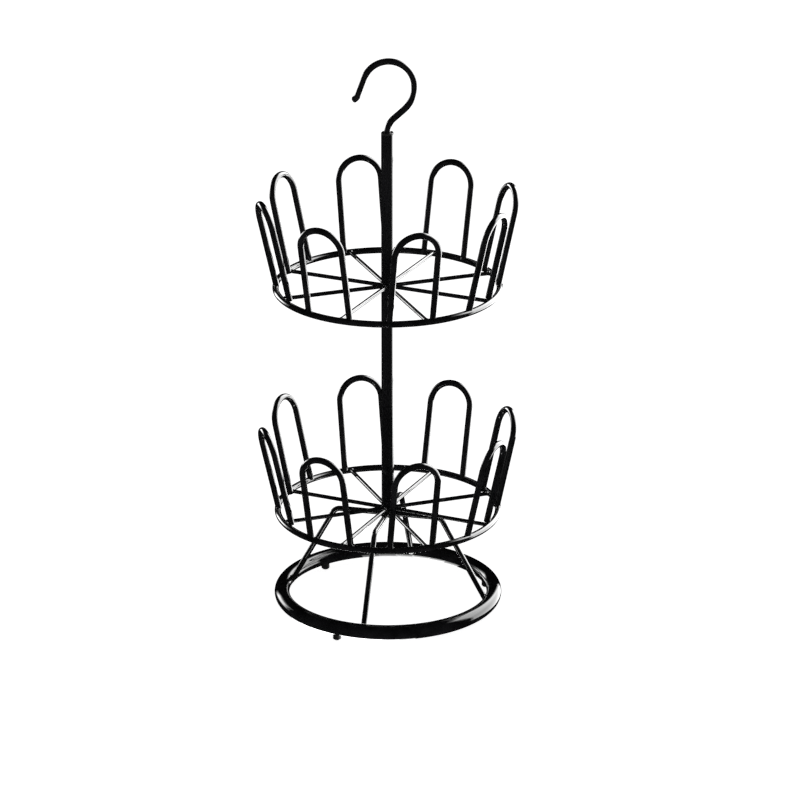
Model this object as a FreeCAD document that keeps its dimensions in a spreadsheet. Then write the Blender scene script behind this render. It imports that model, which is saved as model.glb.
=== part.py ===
"""Two-tier rotating shoe tower of bent and welded steel rod.

A tube ring on three rubber feet carries a spindle on four bent legs.  The pole
turns on that spindle.  It carries two round trays, each with eight spokes and
eight leaning loops for shoes, and a swivelling hanger hook on its top.
Millimetres, +Z up, origin on the floor under the pole's axis.
"""
import FreeCAD, Part
import math
import os
import re
import Sketcher
from FreeCAD import Placement, Rotation, Vector

SIZES = [
    # the base: a tube ring on rubber feet
    ("base_ring_radius", 135.7, "centreline radius of the base ring"),
    ("base_ring_height", 16.0, "height of the base ring's centreline"),
    ("base_tube", 19.0, "outside diameter of the base ring's tube"),
    ("base_tube_wall", 1.5, "wall of the base ring's tube"),
    ("foot_diameter", 10.5, "outside diameter of a rubber foot"),
    ("foot_shoulder", 7.85, "height of a foot's shoulder"),
    ("foot_edge", 1.6, "bevel round a foot's sole"),
    ("foot_stem", 5.0, "diameter of a foot's stem and of its hole"),
    ("foot_hole_depth", 4.5, "depth of that hole's drill, from one wall under the tube"),
    ("foot_barb", 6.2, "diameter of the barb inside the tube"),
    ("foot_barb_bottom", 8.7, "height of the barb's lower face"),
    ("foot_barb_top", 10.9, "height of the barb's tip"),
    ("foot_tip", 3.4, "diameter of the barb's blunt tip"),
    # four bent legs and the boss between them
    ("leg_rod", 7.0, "rod of a base leg"),
    ("leg_height", 122.7, "height of a leg's level run"),
    ("leg_start", 8.3, "radius at which a leg's rod starts, in the boss's edge"),
    ("leg_bend_reach", 69.0, "radius at which a leg turns down"),
    ("leg_bend_radius", 11.5, "centreline radius of a leg's bend"),
    ("leg_lean", 28.9, "degrees of a leg's lower run off the vertical"),
    ("boss_diameter", 19.0, "boss that the legs are welded to"),
    ("boss_bottom", 119.2, "height of the boss's lower face"),
    ("boss_top", 125.8, "height of the boss's upper face"),
    ("boss_edge", 0.7, "bevel round the boss"),
    # the spindle and what runs on it
    ("spindle_diameter", 8.0, "spindle that the tower turns on"),
    ("spindle_top", 209.0, "height of the spindle's tip"),
    ("spindle_point", 1.2, "bevel of the spindle's tip"),
    ("running_gap", 0.05, "radial clearance of a running fit"),
    ("thrust_washer_diameter", 15.6, "nylon washer on the boss"),
    ("thrust_washer_thickness", 0.8, "thickness of that washer"),
    ("bush_flange", 1.0, "flange of the lower bush"),
    ("lower_bush_length", 15.0, "nylon bush in the pole's foot"),
    ("upper_bush_bottom", 190.0, "height of the upper nylon bush"),
    ("upper_bush_length", 14.0, "length of the upper nylon bush"),
    ("clip_diameter", 12.4, "push-on clip over the upper bush"),
    ("clip_bottom", 204.3, "height of that clip"),
    ("clip_thickness", 0.8, "thickness of that clip"),
    # the pole, two tubes on an inner sleeve
    ("pole_diameter", 16.0, "outside diameter of the pole"),
    ("pole_wall", 1.2, "wall of the pole"),
    ("pole_bottom", 127.7, "height of the pole's lower end"),
    ("pole_joint", 414.0, "height at which the two tubes meet"),
    ("pole_top", 627.0, "height of the pole's upper end"),
    ("pole_edge", 0.3, "bevel at the tubes' joint"),
    ("sleeve_length", 70.0, "inner sleeve that joins the tubes"),
    ("sleeve_wall", 1.5, "wall of that sleeve"),
    # the trays
    ("tray_radius", 140.0, "centreline radius of a tray's ring"),
    ("tray_rod", 8.1, "rod of a tray's ring"),
    ("lower_tray_height", 129.0, "height of the lower ring's centreline"),
    ("upper_tray_height", 428.0, "height of the upper ring's centreline"),
    ("spoke_rod", 5.1, "rod of a spoke"),
    ("spoke_rise", 0.8, "height of a spoke over the ring's centreline"),
    # the loops that the shoes hang on
    ("loop_rod", 8.1, "rod of a shoe loop"),
    ("loop_width", 56.0, "centre distance of a loop's two legs"),
    ("loop_length", 120.8, "length of a loop along its lean, to its top centreline"),
    ("loop_reach", 133.0, "radius at the middle of a loop's feet"),
    ("loop_rise", 1.0, "height of a loop's feet over the ring's centreline"),
    ("loop_lean", 12.7, "degrees that a loop leans outward"),
    ("loop_turn", 5.5, "degrees that a loop's plane is turned off the tangent"),
    # the plug and the hanger hook
    ("plug_flange", 2.5, "flange of the pole plug"),
    ("plug_length", 16.0, "length of the plug inside the pole"),
    ("plug_edge", 0.8, "bevel round the plug's flange"),
    ("hook_rod", 8.1, "rod of the hook"),
    ("hook_radius", 31.8, "centreline radius of the hook's crown"),
    ("hook_side_radius", 41.0, "centreline radius of the hook's fuller side"),
    ("hook_offset", 1.4, "distance of the crown's centre off the pole's axis"),
    ("hook_centre", 688.3, "height of the crown's centre"),
    ("hook_crown", 160.0, "degrees that the crown runs past the level of its centre"),
    ("hook_bend", 630.2, "height at which the hook's stem starts to bend"),
    ("hook_stem_lean", 48.0, "degrees of the hook's stem off the vertical"),
    ("hook_drop", 24.0, "straight run between the crown and the flare"),
    ("hook_tip_radius", 10.0, "centreline radius of the flared tip"),
    ("hook_tip_flare", 37.0, "degrees that the tip flares outward"),
    ("hook_tip_length", 2.8, "straight end of the tip"),
    ("hook_tip_round", 2.5, "rounding of the tip's end"),
    ("end_play", 0.1, "end play of the swivelling hook"),
    ("spigot_diameter", 6.0, "turned-down end of the hook's rod"),
    ("spigot_bottom", 602.0, "height of the spigot's lower end"),
    ("hook_washer_diameter", 12.0, "steel washer under the plug"),
    ("hook_washer_thickness", 1.2, "thickness of that washer"),
    ("nut_flats", 10.0, "hexagon nut on the spigot, across its flats"),
    ("nut_thickness", 6.0, "thickness of that nut"),
]

PLACES = 8                  # loops to a tray, and as many spokes
PLACE_STEP = 360 / PLACES
FIRST_LOOP = -32.5          # azimuth of loop 1, counter-clockwise from +X
FIRST_SPOKE = 20.3          # azimuth of spoke 1, close beside a loop's inner foot
LEGS = 4
FIRST_LEG = -14.0
FOOT_AZIMUTHS = {"rear_right": 21.5, "rear_left": 126.9, "front_left": 241.8}
Z_AXIS = Vector(0, 0, 1)

doc = FreeCAD.newDocument("ShoeTower")
sheet = doc.addObject("Spreadsheet::Sheet", "Sizes")
for row, (alias, value, meaning) in enumerate(SIZES, start=1):
    sheet.set(f"A{row}", meaning)
    sheet.set(f"B{row}", str(value))
    sheet.setAlias(f"B{row}", alias)
doc.recompute()
parts = []


def on_sheet(expression):
    """Point the size names of an expression at the sheet's cells."""
    return re.sub(r"\b[a-z_]{3,}\b(?!\()", lambda name: "Sizes." + name.group(), expression)


def worth(expression):
    """The value that an expression on size names has now."""
    return float(sheet.evalExpression(on_sheet(expression)))


def bind(item, **expressions):
    """Bind an object's sizes to expressions on the sheet."""
    for name, expression in expressions.items():
        item.setExpression(name, on_sheet(expression))


def keep(item, name):
    """Name a finished piece and list it for export."""
    item.Label = name
    parts.append(item)
    return item


def radial(azimuth, reach=0.0, height=0.0):
    """Placement with +X pointing outward along an azimuth."""
    turn = Rotation(Z_AXIS, azimuth)
    return Placement(turn.multVec(Vector(reach, 0, 0)) + Vector(0, 0, height), turn)


# ---- sketches -------------------------------------------------------------

def new_sketch(body, name, role):
    sketch = body.newObject("Sketcher::SketchObject", name)
    plane = [item for item in body.Origin.OriginFeatures if item.Role == role][0]
    sketch.AttachmentSupport = [(plane, "")]
    sketch.MapMode = "FlatFace"
    return sketch


def dimension(sketch, kind, *target):
    """Add a driving dimension whose last argument is an expression."""
    expression = target[-1]
    value = worth(expression)
    if kind == "Angle":
        value = math.radians(value)
        expression = f"({expression}) * 1deg"
    number = sketch.addConstraint(Sketcher.Constraint(kind, *target[:-1], value))
    sketch.setExpression(f"Constraints[{number}]", on_sheet(expression))


def pin(sketch, element, end, across, up):
    """Hold a point of a sketch at two expressions from the sketch's origin."""
    for kind, expression, axis in (("DistanceX", across, -2), ("DistanceY", up, -1)):
        if expression == "0":
            sketch.addConstraint(Sketcher.Constraint("PointOnObject", element, end, axis))
        else:
            dimension(sketch, kind, -1, 1, element, end, expression)


def outline(sketch, corners):
    """Draw a closed outline of straight lines through corners of expressions."""
    points = [Vector(worth(across), worth(up), 0) for across, up in corners]
    count = len(points)
    for number in range(count):
        sketch.addGeometry(Part.LineSegment(points[number], points[(number + 1) % count]), False)
    for number in range(count):
        following = (number + 1) % count
        sketch.addConstraint(Sketcher.Constraint("Coincident", number, 2, following, 1))
    for number, (across, up) in enumerate(corners):
        pin(sketch, number, 1, across, up)


def round_section(body, role, across, up, diameter):
    """A round section for a rod, in one of the body's planes."""
    sketch = new_sketch(body, "Section", role)
    centre = Vector(worth(across), worth(up), 0)
    sketch.addGeometry(Part.Circle(centre, Z_AXIS, worth(diameter) / 2), False)
    pin(sketch, 0, 3, across, up)
    dimension(sketch, "Diameter", 0, diameter)
    return sketch


# ---- kinds of piece -------------------------------------------------------

def turn_in(body, corners):
    """Turn an outline of (radius, height) corners about the body's Z axis."""
    sketch = new_sketch(body, "Outline", "XZ_Plane")
    outline(sketch, corners)
    feature = body.newObject("PartDesign::Revolution", "Turned")
    feature.Profile = sketch
    feature.ReferenceAxis = (sketch, ["V_Axis"])
    feature.Angle = 360


def turned(name, corners):
    body = doc.addObject("PartDesign::Body", name)
    turn_in(body, corners)
    return body


def sweep_along(body, section, path):
    """Sweep a round section along a path sketch."""
    feature = body.newObject("PartDesign::AdditivePipe", "Rod")
    feature.Profile = section
    feature.Spine = (path, [f"Edge{number + 1}" for number in range(path.GeometryCount)])


def cope(name, piece, neighbour):
    """Cut a rod's ends to the shape of what they are welded to."""
    cut = doc.addObject("Part::Cut", name)
    cut.Base = piece
    cut.Tool = neighbour
    return cut


def together(name, items):
    compound = doc.addObject("Part::Compound", name)
    compound.Links = items
    return compound


def torus(name, radius, rod, height):
    ring = doc.addObject("Part::Torus", name)
    bind(ring, Radius1=radius, Radius2=f"({rod}) / 2")
    ring.Placement = Placement(Vector(0, 0, worth(height)), Rotation())
    return ring


def cylinder(name, diameter, length, place):
    rod = doc.addObject("Part::Cylinder", name)
    bind(rod, Radius=f"({diameter}) / 2", Height=length)
    rod.Placement = place
    return rod


# ---- the base -------------------------------------------------------------

def base_ring():
    """Closed tube ring with a hole under it for each foot's stem."""
    solid = torus("base_ring_outside", "base_ring_radius", "base_tube", "base_ring_height")
    bore = torus("base_ring_bore", "base_ring_radius", "base_tube - 2 * base_tube_wall",
                 "base_ring_height")
    drill_start = "base_ring_height - base_tube / 2 - base_tube_wall"
    holes = [cylinder(f"foot_hole_{where}", "foot_stem", "foot_hole_depth",
                      radial(azimuth, worth("base_ring_radius"), worth(drill_start)))
             for where, azimuth in FOOT_AZIMUTHS.items()]
    inside = doc.addObject("Part::MultiFuse", "base_ring_inside")
    inside.Shapes = [bore] + holes
    return solid, keep(cope("base_ring", solid, inside), "base_ring")


def foot(where, azimuth, ring):
    """Rubber foot whose barbed stem snaps into the tube ring."""
    body = turned(f"foot_{where}_blank", [
        ("0", "0"),
        ("foot_diameter / 2 - foot_edge", "0"),
        ("foot_diameter / 2", "foot_edge"),
        ("foot_diameter / 2", "foot_shoulder"),
        ("foot_stem / 2", "foot_shoulder"),
        ("foot_stem / 2", "foot_barb_bottom"),
        ("foot_barb / 2", "foot_barb_bottom"),
        ("foot_tip / 2", "foot_barb_top"),
        ("0", "foot_barb_top"),
    ])
    body.Placement = radial(azimuth, worth("base_ring_radius"))
    keep(cope(f"foot_{where}", body, ring), f"foot_{where}")


def base_boss():
    """Turned boss with the spindle pressed through it."""
    return keep(turned("base_boss", [
        ("spindle_diameter / 2", "boss_bottom"),
        ("boss_diameter / 2 - boss_edge", "boss_bottom"),
        ("boss_diameter / 2", "boss_bottom + boss_edge"),
        ("boss_diameter / 2", "boss_top - boss_edge"),
        ("boss_diameter / 2 - boss_edge", "boss_top"),
        ("spindle_diameter / 2", "boss_top"),
    ]), "base_boss")


def base_leg(number, welded_to):
    """Rod that runs level from the boss, bends and drops to the ring's inner side."""
    body = doc.addObject("PartDesign::Body", f"base_leg_{number}_blank")
    path = new_sketch(body, "Path", "XZ_Plane")
    lean = math.radians(worth("leg_lean"))
    start = worth("leg_start")
    level = worth("leg_height")
    corner = worth("leg_bend_reach")
    radius = worth("leg_bend_radius")
    setback = radius * math.tan((math.pi / 2 - lean) / 2)
    down = Vector(math.sin(lean), -math.cos(lean), 0)
    bend_start = Vector(corner - setback, level, 0)
    bend_end = Vector(corner, level, 0) + down * setback
    drop = (bend_end.y - worth("base_ring_height")) / math.cos(lean)
    centre = bend_start - Vector(0, radius, 0)
    path.addGeometry(Part.LineSegment(Vector(start, level, 0), bend_start), False)
    path.addGeometry(Part.ArcOfCircle(Part.Circle(centre, Z_AXIS, radius), lean, math.pi / 2), False)
    path.addGeometry(Part.LineSegment(bend_end, bend_end + down * drop), False)
    path.addConstraint(Sketcher.Constraint("Horizontal", 0))
    path.addConstraint(Sketcher.Constraint("Tangent", 0, 2, 1, 2))
    path.addConstraint(Sketcher.Constraint("Tangent", 1, 1, 2, 1))
    pin(path, 0, 1, "leg_start", "leg_height")
    dimension(path, "Radius", 1, "leg_bend_radius")
    dimension(path, "DistanceX", -1, 1, 0, 2,
              "leg_bend_reach - leg_bend_radius * tan((90 - leg_lean) * 1deg / 2)")
    dimension(path, "Angle", 2, 1, -2, 1, "180 - leg_lean")
    dimension(path, "DistanceY", -1, 1, 2, 2, "base_ring_height")
    section = round_section(body, "YZ_Plane", "0", "leg_height", "leg_rod")
    section.AttachmentOffset = Placement(Vector(0, 0, start), Rotation())
    sweep_along(body, section, path)
    body.Placement = radial(FIRST_LEG + 360 / LEGS * (number - 1))
    keep(cope(f"base_leg_{number}", body, welded_to), f"base_leg_{number}")


def spindle_and_bearings():
    """Spindle on the base, and the nylon bushes and washers that run on it."""
    pole_bore = "pole_diameter / 2 - pole_wall"
    running = "spindle_diameter / 2 + running_gap"
    keep(turned("spindle", [
        ("0", "boss_bottom"),
        ("spindle_diameter / 2", "boss_bottom"),
        ("spindle_diameter / 2", "spindle_top - spindle_point"),
        ("spindle_diameter / 2 - spindle_point", "spindle_top"),
        ("0", "spindle_top"),
    ]), "spindle")
    keep(turned("thrust_washer", [
        (running, "boss_top"),
        ("thrust_washer_diameter / 2", "boss_top"),
        ("thrust_washer_diameter / 2", "boss_top + thrust_washer_thickness"),
        (running, "boss_top + thrust_washer_thickness"),
    ]), "thrust_washer")
    keep(turned("spindle_clip", [
        ("spindle_diameter / 2", "clip_bottom"),
        ("clip_diameter / 2", "clip_bottom"),
        ("clip_diameter / 2", "clip_bottom + clip_thickness"),
        ("spindle_diameter / 2", "clip_bottom + clip_thickness"),
    ]), "spindle_clip")
    keep(turned("lower_bush", [
        (running, "pole_bottom - bush_flange"),
        ("pole_diameter / 2", "pole_bottom - bush_flange"),
        ("pole_diameter / 2", "pole_bottom"),
        (pole_bore, "pole_bottom"),
        (pole_bore, "pole_bottom + lower_bush_length"),
        (running, "pole_bottom + lower_bush_length"),
    ]), "lower_bush")
    keep(turned("upper_bush", [
        (running, "upper_bush_bottom"),
        (pole_bore, "upper_bush_bottom"),
        (pole_bore, "upper_bush_bottom + upper_bush_length"),
        (running, "upper_bush_bottom + upper_bush_length"),
    ]), "upper_bush")


# ---- the turning tower ----------------------------------------------------

def pole():
    """Two tubes that meet on an inner sleeve, a bevel at their joint."""
    bore = "pole_diameter / 2 - pole_wall"
    keep(turned("lower_pole", [
        (bore, "pole_bottom"),
        ("pole_diameter / 2", "pole_bottom"),
        ("pole_diameter / 2", "pole_joint - pole_edge"),
        ("pole_diameter / 2 - pole_edge", "pole_joint"),
        (bore, "pole_joint"),
    ]), "lower_pole")
    keep(turned("upper_pole", [
        (bore, "pole_joint"),
        ("pole_diameter / 2 - pole_edge", "pole_joint"),
        ("pole_diameter / 2", "pole_joint + pole_edge"),
        ("pole_diameter / 2", "pole_top"),
        (bore, "pole_top"),
    ]), "upper_pole")
    keep(turned("pole_sleeve", [
        ("pole_diameter / 2 - pole_wall - sleeve_wall", "pole_joint - sleeve_length / 2"),
        (bore, "pole_joint - sleeve_length / 2"),
        (bore, "pole_joint + sleeve_length / 2"),
        ("pole_diameter / 2 - pole_wall - sleeve_wall", "pole_joint + sleeve_length / 2"),
    ]), "pole_sleeve")


def spoke(tray, number, height, welded_to):
    """Straight rod from the pole to the inner side of a tray's ring."""
    azimuth = FIRST_SPOKE + PLACE_STEP * (number - 1)
    start = worth("pole_diameter / 2 - pole_wall / 2")
    outward = Rotation(Z_AXIS, azimuth).multiply(Rotation(Vector(0, 1, 0), 90))
    foot_point = radial(azimuth, start, height + worth("spoke_rise")).Base
    rod = cylinder(f"{tray}_spoke_{number}_blank", "spoke_rod",
                   "tray_radius - (pole_diameter - pole_wall) / 2", Placement(foot_point, outward))
    keep(cope(f"{tray}_spoke_{number}", rod, welded_to), f"{tray}_spoke_{number}")


def loop(tray, number, height, ring):
    """Leaning hoop for one shoe: two straight legs and a round top."""
    body = doc.addObject("PartDesign::Body", f"{tray}_loop_{number}_blank")
    path = new_sketch(body, "Path", "XZ_Plane")
    half = worth("loop_width / 2")
    shoulder = worth("loop_length - loop_width / 2")
    top = Part.Circle(Vector(0, shoulder, 0), Z_AXIS, half)
    path.addGeometry(Part.LineSegment(Vector(-half, 0, 0), Vector(-half, shoulder, 0)), False)
    path.addGeometry(Part.ArcOfCircle(top, 0, math.pi), False)
    path.addGeometry(Part.LineSegment(Vector(half, shoulder, 0), Vector(half, 0, 0)), False)
    path.addConstraint(Sketcher.Constraint("Vertical", 0))
    path.addConstraint(Sketcher.Constraint("Vertical", 2))
    path.addConstraint(Sketcher.Constraint("Tangent", 0, 2, 1, 2))
    path.addConstraint(Sketcher.Constraint("Tangent", 1, 1, 2, 1))
    path.addConstraint(Sketcher.Constraint("Symmetric", 0, 1, 2, 2, -1, 1))
    path.addConstraint(Sketcher.Constraint("PointOnObject", 0, 1, -1))
    dimension(path, "DistanceX", 0, 1, 2, 2, "loop_width")
    dimension(path, "DistanceY", 0, 1, 0, 2, "loop_length - loop_width / 2")
    section = round_section(body, "XY_Plane", "-loop_width / 2", "0", "loop_rod")
    sweep_along(body, section, path)

    azimuth = FIRST_LOOP + PLACE_STEP * (number - 1)
    facing = Rotation(Z_AXIS, azimuth + worth("loop_turn") + 90)
    leaning = facing.multiply(Rotation(Vector(1, 0, 0), worth("loop_lean")))
    foot_point = radial(azimuth, worth("loop_reach"), height + worth("loop_rise")).Base
    body.Placement = Placement(foot_point, leaning)
    keep(cope(f"{tray}_loop_{number}", body, ring), f"{tray}_loop_{number}")


def tray(name, height_name, pole_outside):
    """A ring with its spokes and loops welded to its inner and upper side."""
    height = worth(height_name)
    ring = keep(torus(f"{name}_tray_ring", "tray_radius", "tray_rod", height_name),
                f"{name}_tray_ring")
    welded_to = together(f"{name}_tray_neighbours", [ring, pole_outside])
    for number in range(1, PLACES + 1):
        spoke(name, number, height, welded_to)
        loop(name, number, height, ring)


def pole_plug():
    """Plastic plug pressed into the pole's upper end, bored for the hook's spigot."""
    bore = "spigot_diameter / 2 + running_gap"
    inside = "pole_diameter / 2 - pole_wall"
    keep(turned("pole_plug", [
        (bore, "pole_top - plug_length"),
        (f"{inside} - plug_edge", "pole_top - plug_length"),
        (inside, "pole_top - plug_length + plug_edge"),
        (inside, "pole_top"),
        ("pole_diameter / 2", "pole_top"),
        ("pole_diameter / 2", "pole_top + plug_flange - plug_edge"),
        ("pole_diameter / 2 - plug_edge", "pole_top + plug_flange"),
        (bore, "pole_top + plug_flange"),
    ]), "pole_plug")


# ---- the swivelling hook --------------------------------------------------

def hook_path(body):
    """Stem, bend, leaning run, fuller side, crown, drop and flared tip, in the XZ plane."""
    path = new_sketch(body, "Path", "XZ_Plane")
    lean = math.radians(worth("hook_stem_lean"))
    crown = math.radians(worth("hook_crown"))
    flare = crown - math.radians(worth("hook_tip_flare"))
    side_radius, crown_radius = worth("hook_side_radius"), worth("hook_radius")
    tip_radius = worth("hook_tip_radius")

    def away(start, angle, distance):
        return start + Vector(math.cos(angle), math.sin(angle), 0) * distance

    def arc(centre, radius, first, last):
        path.addGeometry(Part.ArcOfCircle(Part.Circle(centre, Z_AXIS, radius), first, last), False)

    def straight(start, end):
        path.addGeometry(Part.LineSegment(start, end), False)

    crown_centre = Vector(worth("hook_offset"), worth("hook_centre"), 0)
    side_centre = away(crown_centre, math.pi, side_radius - crown_radius)
    side_start = away(side_centre, -lean, side_radius)
    bend_start = Vector(0, worth("hook_bend"), 0)
    rise = side_start.y - bend_start.y
    bend_radius = ((rise * math.sin(lean) - side_start.x * math.cos(lean))
                   / (1 - math.cos(lean)))
    bend_centre = away(bend_start, 0, bend_radius)
    crown_end = away(crown_centre, crown, crown_radius)
    drop_end = away(crown_end, crown + math.pi / 2, worth("hook_drop"))
    tip_centre = away(drop_end, crown, tip_radius)
    tip_start = away(tip_centre, flare, -tip_radius)
    tip_end = away(tip_start, flare + math.pi / 2, worth("hook_tip_length"))

    straight(Vector(0, worth("pole_top + plug_flange + end_play"), 0), bend_start)
    arc(bend_centre, bend_radius, math.pi - lean, math.pi)
    straight(away(bend_centre, math.pi - lean, bend_radius), side_start)
    arc(side_centre, side_radius, -lean, 0)
    arc(crown_centre, crown_radius, 0, crown)
    straight(crown_end, drop_end)
    arc(tip_centre, tip_radius, flare + math.pi, crown + math.pi)
    straight(tip_start, tip_end)
    for first, first_end, second, second_end in (
            (0, 2, 1, 2), (1, 1, 2, 1), (2, 2, 3, 1), (3, 2, 4, 1),
            (4, 2, 5, 1), (5, 2, 6, 2), (6, 1, 7, 1)):
        path.addConstraint(Sketcher.Constraint("Tangent", first, first_end, second, second_end))
    path.addConstraint(Sketcher.Constraint("Vertical", 0))
    path.addConstraint(Sketcher.Constraint("Horizontal", 4, 1, 4, 3))
    pin(path, 0, 1, "0", "pole_top + plug_flange + end_play")
    dimension(path, "DistanceY", -1, 1, 0, 2, "hook_bend")
    dimension(path, "Angle", 2, 1, -2, 1, "hook_stem_lean")
    dimension(path, "Radius", 3, "hook_side_radius")
    pin(path, 4, 3, "hook_offset", "hook_centre")
    dimension(path, "Radius", 4, "hook_radius")
    dimension(path, "Angle", 5, 1, -2, 1, "360 - hook_crown")
    dimension(path, "Distance", 5, "hook_drop")
    dimension(path, "Radius", 6, "hook_tip_radius")
    dimension(path, "Angle", 7, 1, -2, 1, "360 - hook_crown + hook_tip_flare")
    dimension(path, "Distance", 7, "hook_tip_length")
    return path, tip_end


def hook():
    """Hanger hook: bent rod whose turned-down spigot swivels in the plug."""
    body = doc.addObject("PartDesign::Body", "hook")
    path, tip_end = hook_path(body)
    section = round_section(body, "XY_Plane", "0", "0", "hook_rod")
    stem_foot = worth("pole_top + plug_flange + end_play")
    section.AttachmentOffset = Placement(Vector(0, 0, stem_foot), Rotation())
    sweep_along(body, section, path)
    turn_in(body, [
        ("0", "spigot_bottom"),
        ("spigot_diameter / 2", "spigot_bottom"),
        ("spigot_diameter / 2", "pole_top + plug_flange + end_play"),
        ("0", "pole_top + plug_flange + end_play"),
    ])
    doc.recompute()
    tip = Vector(tip_end.x, 0, tip_end.y)
    nearest = min(range(len(body.Shape.Edges)),
                  key=lambda number: body.Shape.Edges[number].CenterOfMass.distanceToPoint(tip))
    rod = body.Tip
    rounding = body.newObject("PartDesign::Fillet", "TipRounding")
    rounding.Base = (rod, [f"Edge{nearest + 1}"])
    bind(rounding, Radius="hook_tip_round")
    body.Tip = rounding
    keep(body, "hook")

    plug_bottom = "pole_top - plug_length - end_play"
    keep(turned("hook_washer", [
        ("spigot_diameter / 2", f"{plug_bottom} - hook_washer_thickness"),
        ("hook_washer_diameter / 2", f"{plug_bottom} - hook_washer_thickness"),
        ("hook_washer_diameter / 2", plug_bottom),
        ("spigot_diameter / 2", plug_bottom),
    ]), "hook_washer")

    nut_bottom = Placement(Vector(0, 0, worth(
        f"{plug_bottom} - hook_washer_thickness - nut_thickness")), Rotation())
    blank = doc.addObject("Part::Prism", "hook_nut_blank")
    blank.Polygon = 6
    bind(blank, Circumradius="nut_flats / sqrt(3)", Height="nut_thickness")
    blank.Placement = nut_bottom
    bore = cylinder("hook_nut_bore", "spigot_diameter", "nut_thickness", nut_bottom)
    keep(cope("hook_nut", blank, bore), "hook_nut")


# ---- the whole tower ------------------------------------------------------

ring_solid, ring_tube = base_ring()
for where, azimuth in FOOT_AZIMUTHS.items():
    foot(where, azimuth, ring_tube)
boss = base_boss()
leg_neighbours = together("leg_neighbours", [ring_solid, boss])
for number in range(1, LEGS + 1):
    base_leg(number, leg_neighbours)
spindle_and_bearings()
pole()
pole_outside = cylinder("pole_outside", "pole_diameter", "pole_top",
                        Placement(Vector(0, 0, 0), Rotation()))
tray("lower", "lower_tray_height", pole_outside)
tray("upper", "upper_tray_height", pole_outside)
pole_plug()
hook()
doc.recompute()

for item in doc.Objects:
    if "Invalid" in item.State or "Error" in item.State:
        raise RuntimeError(f"{item.Label} did not compute: {item.State}")
for item in parts:
    if item.Shape.isNull() or not item.Shape.isValid() or len(item.Shape.Solids) != 1:
        raise RuntimeError(f"{item.Label} is not one sound solid")

os.makedirs("parts", exist_ok=True)
for item in parts:
    item.Shape.exportStep(f"parts/{item.Label}.step")
    print(f"{item.Label:20s} {item.Shape.Volume:10.1f} mm3")
print(len(parts), "pieces")
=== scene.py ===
"""Looks of a two-tier rotating shoe tower: black enamel, welds, rubber and a studio round it.

Metres, +Z up, the floor at zero and the pole's axis at the origin, as in the frame.
Each section below holds one piece, or one group of like pieces, in the order of assembly.
"""
import math

import bpy
from mathutils import Matrix, Vector


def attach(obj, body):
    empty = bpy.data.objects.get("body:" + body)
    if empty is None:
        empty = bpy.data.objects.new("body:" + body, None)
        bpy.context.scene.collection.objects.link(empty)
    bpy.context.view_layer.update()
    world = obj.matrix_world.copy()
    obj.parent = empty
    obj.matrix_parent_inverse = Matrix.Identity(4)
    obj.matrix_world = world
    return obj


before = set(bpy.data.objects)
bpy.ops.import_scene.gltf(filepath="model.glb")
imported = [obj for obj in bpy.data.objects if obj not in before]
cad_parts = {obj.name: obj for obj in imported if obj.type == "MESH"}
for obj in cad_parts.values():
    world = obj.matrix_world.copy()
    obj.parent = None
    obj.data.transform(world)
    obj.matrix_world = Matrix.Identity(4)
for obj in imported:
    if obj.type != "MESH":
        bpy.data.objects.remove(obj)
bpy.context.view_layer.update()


# ---- base ring --------------------------------------------------------------
# A length of 19 mm steel tube, rolled to a hoop and butt welded. The weld is dressed flush
# and shows only as a faint swell under the enamel. The hoop, like every rod above it, is
# dipped in black stoving enamel that dries to a deep gloss with a slight orange peel.

BLACK = (0.0035, 0.0035, 0.0038, 1)
DUSTY_BLACK = (0.010, 0.010, 0.011, 1)
BASE_RING_RADIUS = 0.1357
BASE_RING_HEIGHT = 0.016
BASE_TUBE_RADIUS = 0.0095
BASE_SEAM_AZIMUTH = 98
BASE_SEAM_SWELL = 0.00022


def add_noise(tree, width, detail, stretch=(1, 1, 1)):
    """Noise with blots of about this width in metres, fixed to the object."""
    place = tree.nodes.new("ShaderNodeTexCoord")
    mapping = tree.nodes.new("ShaderNodeMapping")
    mapping.inputs["Scale"].default_value = stretch
    noise = tree.nodes.new("ShaderNodeTexNoise")
    noise.inputs["Scale"].default_value = 1 / width
    noise.inputs["Detail"].default_value = detail
    tree.links.new(place.outputs["Object"], mapping.inputs["Vector"])
    tree.links.new(mapping.outputs["Vector"], noise.inputs["Vector"])
    return noise.outputs["Fac"]


def vary_colour(tree, shader, blots, dark, light):
    """Let the base colour wander between two shades."""
    ramp = tree.nodes.new("ShaderNodeValToRGB")
    ramp.color_ramp.elements[0].position = 0.35
    ramp.color_ramp.elements[0].color = dark
    ramp.color_ramp.elements[1].position = 0.75
    ramp.color_ramp.elements[1].color = light
    tree.links.new(blots, ramp.inputs["Fac"])
    tree.links.new(ramp.outputs["Color"], shader.inputs["Base Color"])


def vary_roughness(tree, shader, blots, smooth, rough):
    """Let the roughness wander between two values."""
    spread = tree.nodes.new("ShaderNodeMapRange")
    spread.inputs["From Min"].default_value = 0.3
    spread.inputs["From Max"].default_value = 0.7
    spread.inputs["To Min"].default_value = smooth
    spread.inputs["To Max"].default_value = rough
    tree.links.new(blots, spread.inputs["Value"])
    tree.links.new(spread.outputs["Result"], shader.inputs["Roughness"])


def add_relief(tree, shader, *reliefs):
    """Raise the surface by one or more (pattern, depth in metres) reliefs."""
    below = None
    for pattern, depth in reliefs:
        bump = tree.nodes.new("ShaderNodeBump")
        bump.inputs["Strength"].default_value = 1
        bump.inputs["Distance"].default_value = depth
        tree.links.new(pattern, bump.inputs["Height"])
        if below is not None:
            tree.links.new(below, bump.inputs["Normal"])
        below = bump.outputs["Normal"]
    tree.links.new(below, shader.inputs["Normal"])


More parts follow.
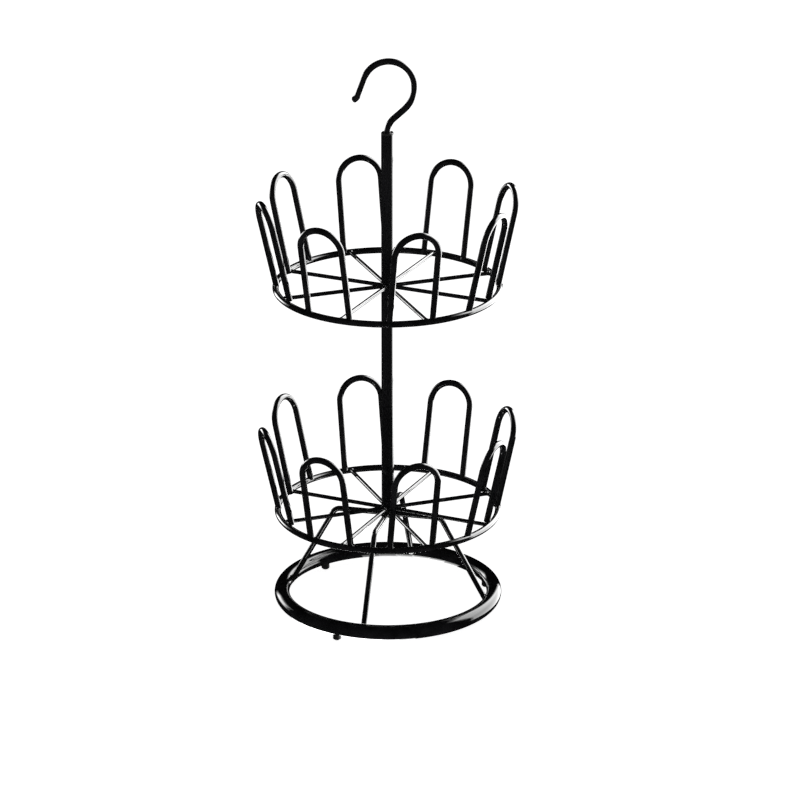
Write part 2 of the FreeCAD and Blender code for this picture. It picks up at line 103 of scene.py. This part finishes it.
def new_material(name):
    """A fresh material, with its node tree and its shader."""
    material = bpy.data.materials.new(name)
    material.use_nodes = True
    return material, material.node_tree, material.node_tree.nodes["Principled BSDF"]


def enamel(name, peel_width=0.0016, peel_depth=4e-6, sag_width=0.012, sag_depth=1.2e-5,
           smooth=0.04, rough=0.08, gloss=0.6, ior=1.52, stretch=(1, 1, 1)):
    """Gloss black stoving enamel: dust in the colour, orange peel and slow sags in the relief."""
    material, tree, shader = new_material(name)
    shader.inputs["Coat Weight"].default_value = gloss
    shader.inputs["Coat Roughness"].default_value = 0.05
    shader.inputs["IOR"].default_value = ior
    dust = add_noise(tree, width=0.02, detail=4, stretch=stretch)
    vary_colour(tree, shader, dust, BLACK, DUSTY_BLACK)
    clouding = add_noise(tree, width=0.03, detail=3, stretch=stretch)
    vary_roughness(tree, shader, clouding, smooth, rough)
    sags = add_noise(tree, width=sag_width, detail=1, stretch=stretch)
    peel = add_noise(tree, width=peel_width, detail=1)
    add_relief(tree, shader, (sags, sag_depth), (peel, peel_depth))
    return material


def coat(material, *nodes):
    """Give CAD nodes a finish."""
    for node in nodes:
        for material_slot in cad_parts[node].material_slots:
            material_slot.material = material


def deselect_all():
    """Clear the selection, so that the next operator acts on new work alone."""
    bpy.ops.object.select_all(action="DESELECT")


def settle(piece, name, material, body):
    """Put a finished piece's place into its mesh, name it, coat it and hand it to its body."""
    piece.name = name
    piece.data.name = name
    piece.data.transform(piece.matrix_world)
    piece.matrix_world = Matrix.Identity(4)
    piece.data.materials.clear()
    piece.data.materials.append(material)
    deselect_all()
    piece.select_set(True)
    bpy.context.view_layer.objects.active = piece
    bpy.ops.object.shade_smooth()
    deselect_all()
    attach(piece, body)


def seam_band(ring_radius, rod_radius, height, azimuth, swell):
    """A low rounded swell all round a rod's section, where its two ends were welded."""
    deselect_all()
    turn = math.radians(azimuth)
    bpy.ops.mesh.primitive_torus_add(
        major_radius=rod_radius - swell, minor_radius=2 * swell,
        major_segments=64, minor_segments=12,
        location=(ring_radius * math.cos(turn), ring_radius * math.sin(turn), height),
        rotation=(math.pi / 2, 0, turn))
    bpy.ops.object.mode_set(mode="EDIT")
    bpy.ops.mesh.select_all(action="SELECT")
    bpy.ops.mesh.vertices_smooth(factor=0.5, repeat=2)
    bpy.ops.object.mode_set(mode="OBJECT")
    return bpy.context.object


base_enamel = enamel("base_ring_enamel", sag_width=0.02, sag_depth=2e-5, gloss=0, ior=1.47)
coat(base_enamel, "base_ring")
seam = seam_band(BASE_RING_RADIUS, BASE_TUBE_RADIUS, BASE_RING_HEIGHT, BASE_SEAM_AZIMUTH,
                 BASE_SEAM_SWELL)
settle(seam, "base_ring_seam", base_enamel, "base")


# ---- feet -------------------------------------------------------------------
# Three moulded rubber feet, each pushed through a hole under the ring until its barb snaps
# in. The rubber is dull, faintly grained, and greyed by dust.

RUBBER = (0.006, 0.006, 0.006, 1)
DUSTY_RUBBER = (0.016, 0.0155, 0.015, 1)
RUBBER_GRAIN_DEPTH = 2e-5

rubber, tree, shader = new_material("foot_rubber")
shader.inputs["Specular IOR Level"].default_value = 0.1
vary_colour(tree, shader, add_noise(tree, width=0.004, detail=5), RUBBER, DUSTY_RUBBER)
vary_roughness(tree, shader, add_noise(tree, width=0.002, detail=3), smooth=0.55, rough=0.75)
add_relief(tree, shader, (add_noise(tree, width=0.0004, detail=2), RUBBER_GRAIN_DEPTH))
coat(rubber, "foot_rear_right", "foot_rear_left", "foot_front_left")


# ---- legs and boss ----------------------------------------------------------
# Four bent rods run from a turned boss to the inner side of the ring. Both ends are welded,
# and the enamel has flowed into the corners, so each joint has a soft rippled fillet.

LEG_RADIUS = 0.0035
LEG_LEVEL = Vector((0, 0, 0.1227))
LEG_AZIMUTHS = [-14.0 + 90 * number for number in range(4)]
LEG_LEAN = math.radians(28.9)
LEG_FOOT = Vector((0.1279, 0, BASE_RING_HEIGHT))
BOSS_RADIUS = 0.0095
BOSS_BOTTOM = 0.1192
BOSS_TOP = 0.1258

# A weld's stubs lie this far inside the tube, rods and boss that they stand for.
TUBE_INSET = 0.00005
ROD_INSET = 0.00002
BOSS_INSET = 0.0001
BOSS_END_INSET = 0.0002

# The drops climb each side of a leg's end, from under the rod to over it.
LEG_DROP_RADIUS = 0.0012
LEG_DROPS_A_SIDE = 5
FIRST_DROP_CLIMB = 0.0006
DROP_CLIMB_STEP = 0.0010
FIRST_DROP_OFFSET = -0.0015
DROP_OFFSET_STEP = 0.00085
TOP_DROP_RADIUS = 0.0015
TOP_DROP_CLIMB = 0.0053
LEG_STUB_LENGTH = 0.016

# At the boss, distances from the axis, to the side of the leg and up its flank.
BOSS_STUB_START = 0.0084
BOSS_STUB_END = 0.018
BOSS_DROP_REACH = 0.0097
BOSS_DROP_SPREAD = 0.0037
BOSS_DROP_RISES = (-0.0012, 0.0, 0.0012)


def rod_stub(start, end, radius):
    """A short straight length of rod between two points."""
    along = Vector(end) - Vector(start)
    bpy.ops.mesh.primitive_cylinder_add(
        vertices=40, radius=radius, depth=along.length,
        location=(Vector(start) + Vector(end)) / 2,
        rotation=along.to_track_quat("Z", "Y").to_euler())
    return bpy.context.object


def ring_stub(ring_radius, rod_radius, height, half_span):
    """A short length of a round ring's rod, across the +X axis, spun from its section."""
    half = math.radians(half_span)
    bpy.ops.mesh.primitive_circle_add(
        vertices=40, radius=rod_radius, fill_type="NGON",
        location=(ring_radius * math.cos(half), -ring_radius * math.sin(half), height),
        rotation=(math.pi / 2, 0, -half))
    bpy.ops.object.mode_set(mode="EDIT")
    bpy.ops.mesh.select_all(action="SELECT")
    bpy.ops.mesh.spin(steps=12, angle=2 * half, center=(0, 0, height), axis=(0, 0, 1))
    bpy.ops.object.mode_set(mode="OBJECT")
    return bpy.context.object


def drop(place, radius, squash=(1, 1, 1)):
    """One drop of weld metal."""
    bpy.ops.mesh.primitive_uv_sphere_add(
        segments=20, ring_count=12, radius=radius, location=place, scale=squash)
    return bpy.context.object


def join_all(pieces):
    """Join pieces into the first of them."""
    deselect_all()
    for piece in pieces:
        piece.select_set(True)
    bpy.context.view_layer.objects.active = pieces[0]
    bpy.ops.object.join()
    return bpy.context.object


def flow_together(stubs, grain, softness):
    """Melt overlapping stubs and drops into one skin whose corners are filled."""
    weld = join_all(stubs)
    bpy.ops.object.transform_apply(location=True, rotation=True, scale=True)
    melt = weld.modifiers.new("Melt", "REMESH")
    melt.mode = "VOXEL"
    melt.voxel_size = grain
    relax = weld.modifiers.new("Relax", "SMOOTH")
    relax.factor = 0.5
    relax.iterations = softness
    bpy.ops.object.modifier_apply(modifier=melt.name)
    bpy.ops.object.modifier_apply(modifier=relax.name)
    return weld


def copies_round(weld, azimuths, height=0.0):
    """Copies of a weld made over the +X axis, one at each azimuth, joined as one piece."""
    made = []
    for azimuth in azimuths:
        copy = weld.copy()
        copy.data = weld.data.copy()
        copy.data.transform(Matrix.Translation((0, 0, height))
                            @ Matrix.Rotation(math.radians(azimuth), 4, "Z"))
        bpy.context.scene.collection.objects.link(copy)
        made.append(copy)
    return join_all(made)


def outward_at(azimuth):
    """The level direction that leads away from the pole's axis at an azimuth."""
    turn = math.radians(azimuth)
    return Vector((math.cos(turn), math.sin(turn), 0))


leg_enamel = enamel("leg_enamel")
coat(leg_enamel, "base_boss", *[f"base_leg_{number}" for number in (1, 2, 3, 4)])
weld_enamel = enamel("weld_enamel", peel_width=0.0010, peel_depth=5e-6, sag_width=0.003,
                     sag_depth=3e-5, smooth=0.12, rough=0.22)

deselect_all()
down = Vector((math.sin(LEG_LEAN), 0, -math.cos(LEG_LEAN)))
toward_ring = Vector((math.cos(LEG_LEAN), 0, math.sin(LEG_LEAN)))
stubs = [
    ring_stub(BASE_RING_RADIUS, BASE_TUBE_RADIUS - TUBE_INSET, BASE_RING_HEIGHT, half_span=5.5),
    rod_stub(LEG_FOOT - LEG_STUB_LENGTH * down, LEG_FOOT, LEG_RADIUS - ROD_INSET),
]
for step in range(LEG_DROPS_A_SIDE):
    climb = FIRST_DROP_CLIMB + DROP_CLIMB_STEP * step
    offset = FIRST_DROP_OFFSET + DROP_OFFSET_STEP * step
    beside = Vector((0, math.sqrt(LEG_RADIUS ** 2 - offset ** 2), 0))
    for side in (-1, 1):
        place = LEG_FOOT - climb * down + offset * toward_ring + side * beside
        stubs.append(drop(place, LEG_DROP_RADIUS))
stubs.append(drop(LEG_FOOT - TOP_DROP_CLIMB * down + LEG_RADIUS * toward_ring, TOP_DROP_RADIUS))
leg_foot_weld = flow_together(stubs, grain=0.0005, softness=3)
foot_welds = copies_round(leg_foot_weld, LEG_AZIMUTHS)
bpy.data.objects.remove(leg_foot_weld)
settle(foot_welds, "leg_foot_welds", weld_enamel, "base")

deselect_all()
stubs = [rod_stub((0, 0, BOSS_BOTTOM + BOSS_END_INSET), (0, 0, BOSS_TOP - BOSS_END_INSET),
                  BOSS_RADIUS - BOSS_INSET)]
for azimuth in LEG_AZIMUTHS:
    outward = outward_at(azimuth)
    across = Vector((-outward.y, outward.x, 0))
    stubs.append(rod_stub(LEG_LEVEL + BOSS_STUB_START * outward,
                          LEG_LEVEL + BOSS_STUB_END * outward, LEG_RADIUS - ROD_INSET))
    for side in (-1, 1):
        flank = LEG_LEVEL + BOSS_DROP_REACH * outward + side * BOSS_DROP_SPREAD * across
        for rise in BOSS_DROP_RISES:
            stubs.append(drop(flank + Vector((0, 0, rise)), LEG_DROP_RADIUS))
boss_weld = flow_together(stubs, grain=0.0005, softness=3)
settle(boss_weld, "boss_weld", weld_enamel, "base")


# ---- spindle and bearings ---------------------------------------------------
# Zinc-plated steel spindle and clip, pressed and pushed on. Two black nylon bushes in the
# pole's foot and a washer of the same on the boss run on them. Only their edges ever show.

ZINC = (0.42, 0.43, 0.44, 1)
PALE_ZINC = (0.58, 0.59, 0.60, 1)
TURNING_MARK_DEPTH = 2e-6
NYLON = (0.012, 0.012, 0.012, 1)
DUSTY_NYLON = (0.024, 0.0235, 0.023, 1)
NYLON_GRAIN_DEPTH = 4e-6

zinc, tree, shader = new_material("zinc_plate")
shader.inputs["Metallic"].default_value = 1
vary_colour(tree, shader, add_noise(tree, width=0.003, detail=4), ZINC, PALE_ZINC)
vary_roughness(tree, shader, add_noise(tree, width=0.0015, detail=4), smooth=0.28, rough=0.42)
turning_marks = add_noise(tree, width=0.0006, detail=2, stretch=(1, 1, 12))
add_relief(tree, shader, (turning_marks, TURNING_MARK_DEPTH))
coat(zinc, "spindle", "spindle_clip", "hook_washer", "hook_nut")

nylon, tree, shader = new_material("black_nylon")
vary_colour(tree, shader, add_noise(tree, width=0.004, detail=3), NYLON, DUSTY_NYLON)
vary_roughness(tree, shader, add_noise(tree, width=0.002, detail=3), smooth=0.40, rough=0.52)
add_relief(tree, shader, (add_noise(tree, width=0.0008, detail=2), NYLON_GRAIN_DEPTH))
coat(nylon, "thrust_washer", "lower_bush", "upper_bush")


# ---- pole -------------------------------------------------------------------
# Two drawn tubes that meet on a bare inner sleeve, with a bevelled hairline where they
# butt. The draw marks run lengthwise and just reach through the enamel.

POLE_RADIUS = 0.008
SLEEVE_STEEL = (0.30, 0.29, 0.28, 1)
PALE_SLEEVE_STEEL = (0.42, 0.41, 0.40, 1)
DRAW_MARK_DEPTH = 3e-6

pole_enamel = enamel("pole_enamel", sag_width=0.006, sag_depth=1e-5, stretch=(1, 1, 0.12))
coat(pole_enamel, "lower_pole", "upper_pole")

sleeve_steel, tree, shader = new_material("sleeve_steel")
shader.inputs["Metallic"].default_value = 1
vary_colour(tree, shader, add_noise(tree, width=0.005, detail=4), SLEEVE_STEEL,
            PALE_SLEEVE_STEEL)
streaks = add_noise(tree, width=0.003, detail=4, stretch=(1, 1, 0.1))
vary_roughness(tree, shader, streaks, smooth=0.30, rough=0.45)
draw_marks = add_noise(tree, width=0.0008, detail=2, stretch=(1, 1, 0.05))
add_relief(tree, shader, (draw_marks, DRAW_MARK_DEPTH))
coat(sleeve_steel, "pole_sleeve")


# ---- trays ------------------------------------------------------------------
# Each tray is a hoop of 8 mm rod, butt welded, on eight thin spokes. The spokes are
# resistance welded to the hoop's inner side and tacked round the pole, with enamel in
# every corner.

PLACES = range(1, 9)
PLACE_STEP = 45
TRAY_RADIUS = 0.140
TRAY_ROD_RADIUS = 0.00405
TRAY_HEIGHTS = {"lower": 0.129, "upper": 0.428}
TRAY_SEAM_AZIMUTH = 81
TRAY_SEAM_SWELL = 0.00015
SPOKE_RADIUS = 0.00255
SPOKE_RISE = 0.0008
SPOKE_AZIMUTHS = [20.3 + PLACE_STEP * (number - 1) for number in PLACES]
SPOKE_INSET = 0.00001
SPOKE_STUB_LENGTH = 0.0125
SPOKE_DROP_RADIUS = 0.0032
SPOKE_DROP_SHIFT = 0.0003

# Round the pole: distances from its axis, and heights over the middle of the spokes. One
# drop sits on each spoke and one between each pair.
HUB_BOTTOM = -0.0018
HUB_TOP = 0.006
HUB_STUB_START = 0.006
HUB_STUB_END = 0.0145
HUB_DROP_RADIUS = 0.0013
SPOKE_TOP_REACH = 0.0086
SPOKE_TOP_RISE = 0.0021
SPOKE_GAP_REACH = 0.0083
SPOKE_GAP_RISE = 0.0004

tray_enamel = enamel("tray_enamel")
for tray in TRAY_HEIGHTS:
    coat(tray_enamel, f"{tray}_tray_ring", *[f"{tray}_spoke_{number}" for number in PLACES])

deselect_all()
inner_side = TRAY_RADIUS - TRAY_ROD_RADIUS
stubs = [
    ring_stub(TRAY_RADIUS, TRAY_ROD_RADIUS - ROD_INSET, 0, half_span=2.4),
    rod_stub((TRAY_RADIUS - SPOKE_STUB_LENGTH, 0, SPOKE_RISE), (TRAY_RADIUS, 0, SPOKE_RISE),
             SPOKE_RADIUS - SPOKE_INSET),
    drop((inner_side - SPOKE_DROP_SHIFT, 0, SPOKE_RISE), SPOKE_DROP_RADIUS, squash=(0.4, 1, 1)),
]
spoke_weld = flow_together(stubs, grain=0.0004, softness=4)

deselect_all()
stubs = [rod_stub((0, 0, HUB_BOTTOM), (0, 0, HUB_TOP), POLE_RADIUS - TUBE_INSET)]
for azimuth in SPOKE_AZIMUTHS:
    outward = outward_at(azimuth)
    stubs.append(rod_stub(HUB_STUB_START * outward, HUB_STUB_END * outward,
                          SPOKE_RADIUS - SPOKE_INSET))
    stubs.append(drop(SPOKE_TOP_REACH * outward + Vector((0, 0, SPOKE_TOP_RISE)),
                      HUB_DROP_RADIUS))
    gap = outward_at(azimuth + PLACE_STEP / 2)
    stubs.append(drop(SPOKE_GAP_REACH * gap + Vector((0, 0, SPOKE_GAP_RISE)), HUB_DROP_RADIUS))
hub_weld = flow_together(stubs, grain=0.0004, softness=3)

for tray, height in TRAY_HEIGHTS.items():
    spoke_welds = copies_round(spoke_weld, SPOKE_AZIMUTHS, height)
    settle(spoke_welds, f"{tray}_spoke_welds", weld_enamel, "tower")
    hub = copies_round(hub_weld, [0], height + SPOKE_RISE)
    settle(hub, f"{tray}_hub_weld", weld_enamel, "tower")
    seam = seam_band(TRAY_RADIUS, TRAY_ROD_RADIUS, height, TRAY_SEAM_AZIMUTH, TRAY_SEAM_SWELL)
    settle(seam, f"{tray}_ring_seam", tray_enamel, "tower")
bpy.data.objects.remove(spoke_weld)
bpy.data.objects.remove(hub_weld)


# ---- shoe loops -------------------------------------------------------------
# Eight hoops of 8 mm rod lean outward round each tray. One foot of a loop is welded to
# the hoop's inner side and the other stands on top of it.

LOOP_RADIUS = 0.00405
LOOP_AZIMUTHS = [-32.5 + PLACE_STEP * (number - 1) for number in PLACES]
LOOP_HALF_WIDTH = 0.028
LOOP_REACH = 0.1330
LOOP_RISE = 0.001
LOOP_TURN = math.radians(5.5)
LOOP_LEAN = math.radians(12.7)
LOOP_STUB_LENGTH = 0.012
LOOP_TOUCH = 0.25
LOOP_DROP_RADIUS = 0.0033

loop_enamel = enamel("loop_enamel", sag_width=0.009)
for tray in TRAY_HEIGHTS:
    coat(loop_enamel, *[f"{tray}_loop_{number}" for number in PLACES])

hoop_middle = Vector((TRAY_RADIUS, 0, 0))
sideways = Vector((-math.sin(LOOP_TURN), math.cos(LOOP_TURN), 0))
upwards = Vector((math.sin(LOOP_LEAN) * math.cos(LOOP_TURN),
                  math.sin(LOOP_LEAN) * math.sin(LOOP_TURN), math.cos(LOOP_LEAN)))
loop_foot_welds = []
for side in (-1, 1):
    foot = Vector((LOOP_REACH, 0, LOOP_RISE)) + side * LOOP_HALF_WIDTH * sideways
    turn = math.atan2(foot.y, foot.x)
    unturn = Matrix.Rotation(-turn, 3, "Z")
    start = unturn @ foot
    end = unturn @ (foot + LOOP_STUB_LENGTH * upwards)
    touch = start + LOOP_TOUCH * (end - start)
    place = hoop_middle + TRAY_ROD_RADIUS * (touch - hoop_middle).normalized()
    deselect_all()
    stubs = [
        ring_stub(TRAY_RADIUS, TRAY_ROD_RADIUS - ROD_INSET, 0, half_span=2.8),
        rod_stub(start, end, LOOP_RADIUS - ROD_INSET),
        drop(place, LOOP_DROP_RADIUS, squash=(0.8, 1.1, 0.8)),
    ]
    weld = flow_together(stubs, grain=0.00045, softness=4)
    loop_foot_welds.append((weld, math.degrees(turn)))

for tray, height in TRAY_HEIGHTS.items():
    loop_welds = join_all([
        copies_round(weld, [azimuth + turn for azimuth in LOOP_AZIMUTHS], height)
        for weld, turn in loop_foot_welds])
    settle(loop_welds, f"{tray}_loop_welds", weld_enamel, "tower")
for weld, _ in loop_foot_welds:
    bpy.data.objects.remove(weld)


# ---- plug and hook ----------------------------------------------------------
# A moulded plastic plug closes the pole. The hanger hook's turned-down end swivels in it
# on a washer and nut inside the pole. The hook is the same enamelled rod as the trays.

PLUG_BLACK = (0.010, 0.010, 0.010, 1)
DUSTY_PLUG_BLACK = (0.020, 0.020, 0.020, 1)
PLUG_GRAIN_DEPTH = 6e-6

plug_plastic, tree, shader = new_material("plug_plastic")
vary_colour(tree, shader, add_noise(tree, width=0.003, detail=3), PLUG_BLACK, DUSTY_PLUG_BLACK)
vary_roughness(tree, shader, add_noise(tree, width=0.002, detail=3), smooth=0.30, rough=0.42)
add_relief(tree, shader, (add_noise(tree, width=0.0005, detail=2), PLUG_GRAIN_DEPTH))
coat(plug_plastic, "pole_plug")

hook_enamel = enamel("hook_enamel", sag_width=0.009)
coat(hook_enamel, "hook")


# ---- studio -----------------------------------------------------------------
# A white sweep and an even white surround, both kept out of the gloss. The enamel mirrors
# a tall soft lamp behind to the right, a lower one behind to the left, and the lit floor
# close under the base ring. Nested panels give each lamp a soft edge.

FLOOR_SIZE = 80.0
FLOOR_WHITE = (0.88, 0.88, 0.88, 1)
FLOOR_GLOW = 0.88
WHITE = (1, 1, 1, 1)
SURROUND = 0.35

# Each panel of a lamp: right edge, left edge, lower edge, upper edge and radiance.
PANEL_GAP = 0.02
RIGHT_LAMP_AZIMUTH = 33
RIGHT_LAMP_DISTANCE = 1.80
RIGHT_LAMP_PANELS = [
    (-1.72, 1.40, 1.00, 3.05, 0.9),
    (-1.56, 1.25, 0.70, 2.80, 1.3),
    (-1.34, 1.15, -0.57, 2.62, 3.0),
    (-1.22, 1.00, -0.57, 2.45, 3.2),
]
LEFT_LAMP_AZIMUTH = 138
LEFT_LAMP_DISTANCE = 3.50
LEFT_LAMP_PANELS = [
    (-0.95, 1.30, -0.35, 1.60, 0.8),
    (-0.80, 1.00, -0.20, 1.30, 2.0),
    (-0.68, 0.80, -0.05, 1.08, 2.6),
    (-0.55, 0.60, 0.10, 0.86, 2.6),
]

# The lit floor's strips: where each row starts, and the radiance of its strips in turn.
GLOW_RADIUS = BASE_RING_RADIUS - 0.006
GLOW_STEP = 9
GLOW_LENGTH = 0.021
GLOW_WIDTH = 0.019
GLOW_DEPTH = 0.001
GLOW_DEPTH_STEP = 0.0002
FRONT_GLOW_AZIMUTH = 209
FRONT_GLOW_RADIANCES = (3, 6, 9, 11, 11, 10, 8, 5, 3)
REAR_GLOW_AZIMUTH = 54
REAR_GLOW_RADIANCES = (3, 6, 7, 5, 3, 2)

deselect_all()
bpy.ops.mesh.primitive_plane_add(size=FLOOR_SIZE)
floor = bpy.context.object
floor.name = "floor"
bpy.ops.object.mode_set(mode="EDIT")
bpy.ops.mesh.subdivide(number_cuts=3)
bpy.ops.object.mode_set(mode="OBJECT")
floor_white, tree, shader = new_material("floor_white")
shader.inputs["Base Color"].default_value = FLOOR_WHITE
shader.inputs["Roughness"].default_value = 1
shader.inputs["Specular IOR Level"].default_value = 0
shader.inputs["Emission Color"].default_value = WHITE
shader.inputs["Emission Strength"].default_value = FLOOR_GLOW
floor.data.materials.append(floor_white)
floor.visible_glossy = False
floor.visible_shadow = False

world = bpy.data.worlds.new("surround")
world.use_nodes = True
background = world.node_tree.nodes["Background"]
background.inputs["Color"].default_value = WHITE
background.inputs["Strength"].default_value = SURROUND
world.cycles_visibility.glossy = False
bpy.context.scene.world = world


def softbox(name, place, rotation, width, height, radiance):
    """A flat lamp that shows only in gloss."""
    lamp = bpy.data.lights.new(name, "AREA")
    lamp.shape = "RECTANGLE"
    lamp.size = width
    lamp.size_y = height
    lamp.energy = radiance * math.pi * width * height
    holder = bpy.data.objects.new(name, lamp)
    holder.location = place
    holder.rotation_euler = rotation
    holder.visible_camera = False
    holder.visible_diffuse = False
    bpy.context.scene.collection.objects.link(holder)


def wall_lamp(name, azimuth, distance, panels):
    """Upright softboxes that face the pole, each a little behind the one before."""
    outward = outward_at(azimuth)
    leftward = Vector((-outward.y, outward.x, 0))
    rotation = (math.pi / 2, 0, math.radians(azimuth) + math.pi / 2)
    for number, (right, left, low, high, radiance) in enumerate(panels):
        middle = ((distance + PANEL_GAP * number) * outward + (right + left) / 2 * leftward
                  + Vector((0, 0, (low + high) / 2)))
        softbox(f"{name}_{number + 1}", middle, rotation, left - right, high - low, radiance)


def floor_lamps(name, azimuth, radiances):
    """Short strips of lit floor that follow the base ring's inner lower side."""
    for step, radiance in enumerate(radiances):
        toward = azimuth + GLOW_STEP * step
        depth = GLOW_DEPTH + GLOW_DEPTH_STEP * step
        middle = GLOW_RADIUS * outward_at(toward) - Vector((0, 0, depth))
        softbox(f"{name}_{step + 1}", middle, (math.pi, 0, math.radians(toward) + math.pi / 2),
                GLOW_LENGTH, GLOW_WIDTH, radiance)


wall_lamp("right_lamp", RIGHT_LAMP_AZIMUTH, RIGHT_LAMP_DISTANCE, RIGHT_LAMP_PANELS)
wall_lamp("left_lamp", LEFT_LAMP_AZIMUTH, LEFT_LAMP_DISTANCE, LEFT_LAMP_PANELS)
floor_lamps("front_glow", FRONT_GLOW_AZIMUTH, FRONT_GLOW_RADIANCES)
floor_lamps("rear_glow", REAR_GLOW_AZIMUTH, REAR_GLOW_RADIANCES)

CAMERA_PLACE = (0, -5.30631, 2.29465)
CAMERA_PITCH = math.radians(20.826)
CAMERA_YAW = math.radians(0.1665)
CAMERA_LENS = 202.68
CAMERA_SENSOR = 36
CAMERA_REACH = 100

lens = bpy.data.cameras.new("camera")
lens.lens = CAMERA_LENS
lens.sensor_width = CAMERA_SENSOR
lens.clip_end = CAMERA_REACH
camera = bpy.data.objects.new("camera", lens)
camera.location = CAMERA_PLACE
camera.rotation_euler = (math.pi / 2 - CAMERA_PITCH, 0, -CAMERA_YAW)
bpy.context.scene.collection.objects.link(camera)
bpy.context.scene.camera = camera
bpy.context.scene.view_settings.view_transform = "Standard"
